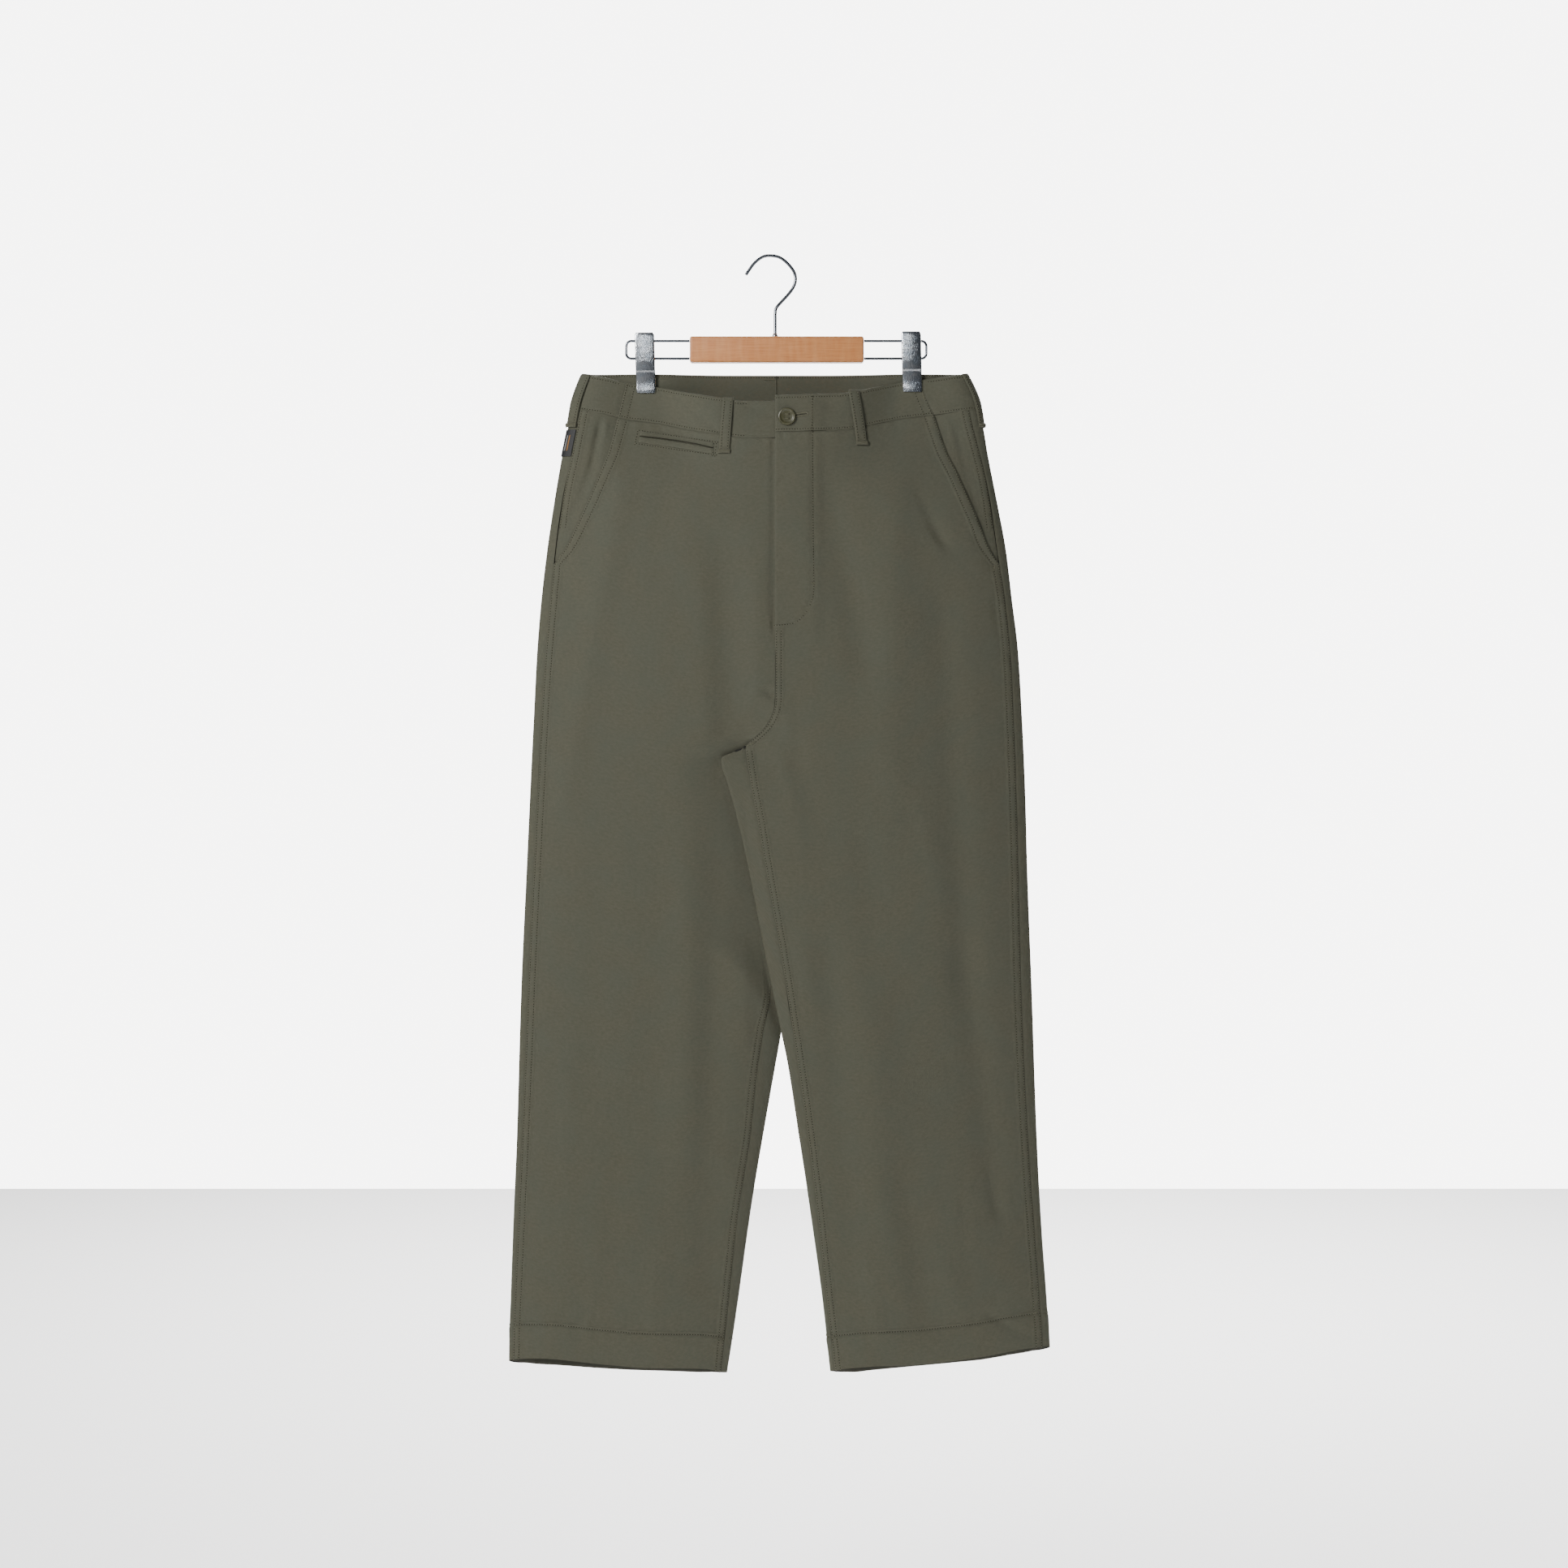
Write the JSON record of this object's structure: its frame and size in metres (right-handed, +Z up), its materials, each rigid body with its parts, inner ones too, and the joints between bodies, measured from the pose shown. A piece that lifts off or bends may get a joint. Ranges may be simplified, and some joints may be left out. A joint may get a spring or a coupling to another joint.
{
  "type": "softshell pants on a clip hanger",
  "caption": "Straight-leg softshell trousers with slanted pockets, a small welt pocket and belt loops, hanging flat from a wooden hanger with sprung clips.",
  "frame": {"origin": "inside top of the hanger's hook, where the rod touches it", "axes": "+Z up, +X to the right of a viewer who faces the garment's front, which looks along -Y"},
  "size_m": [0.5322, 0.045, 1.1036],
  "materials": {
    "cloth": "matt",
    "woven_label": "matt",
    "button": "satin",
    "wood": "satin",
    "chrome": "polished"
  },
  "bodies": {
    "root": {"front_left": "cloth", "front_right": "cloth", "back_left": "cloth", "back_right": "cloth", "pocket_facing_left": "cloth", "pocket_facing_right": "cloth", "waistband_front_left": "cloth", "waistband_front_right": "cloth", "waistband_back_left": "cloth", "waistband_back_right": "cloth", "welt_upper": "cloth", "welt_lower": "cloth", "belt_loop_side_left": "cloth", "belt_loop_front_left": "cloth", "belt_loop_front_right": "cloth", "belt_loop_side_right": "cloth", "belt_loop_back_left": "cloth", "belt_loop_back_centre": "cloth", "belt_loop_back_right": "cloth", "hem_left": "cloth", "hem_right": "cloth", "label": "woven_label", "button": "button", "hanger_bar": "wood", "hook": "chrome", "hook_collar": "chrome", "rail_left": "chrome", "rail_right": "chrome", "clip_left_front": "chrome", "clip_left_back": "chrome", "clip_left_spring": "chrome", "clip_right_front": "chrome", "clip_right_back": "chrome", "clip_right_spring": "chrome"}
  },
  "joints": []
}
